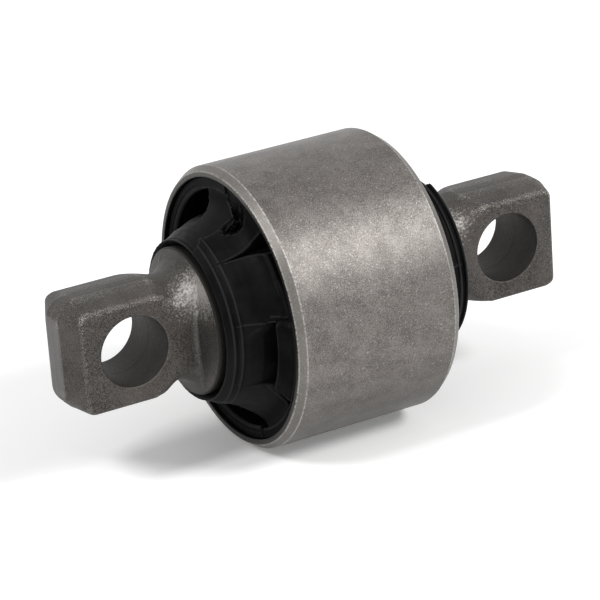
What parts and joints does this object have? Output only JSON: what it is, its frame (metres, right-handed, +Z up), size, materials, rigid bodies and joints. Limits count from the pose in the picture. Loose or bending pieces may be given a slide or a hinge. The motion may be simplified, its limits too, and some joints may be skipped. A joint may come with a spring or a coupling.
{
  "type": "rubber metal bush",
  "caption": "Rubber and metal rod bush: a turned steel sleeve round a moulded rubber body, bonded to a forged cross pin with flat bored eyes.",
  "frame": {"origin": "centre of the sleeve, on its axis and halfway along it", "axes": "X along the sleeve and the cross pin, Y along both bolt holes, Z up"},
  "size_m": [0.166, 0.085, 0.085],
  "materials": {
    "sleeve_steel": "turned and phosphated grey steel, satin, with fine wear",
    "forged_steel": "shot-blasted forging, grainy dark grey with rubbed edges",
    "rubber": "moulded black rubber, semi-matt"
  },
  "bodies": {
    "root": {"outer_sleeve": "sleeve_steel", "cross_pin": "forged_steel", "rubber_body": "rubber"}
  },
  "joints": []
}
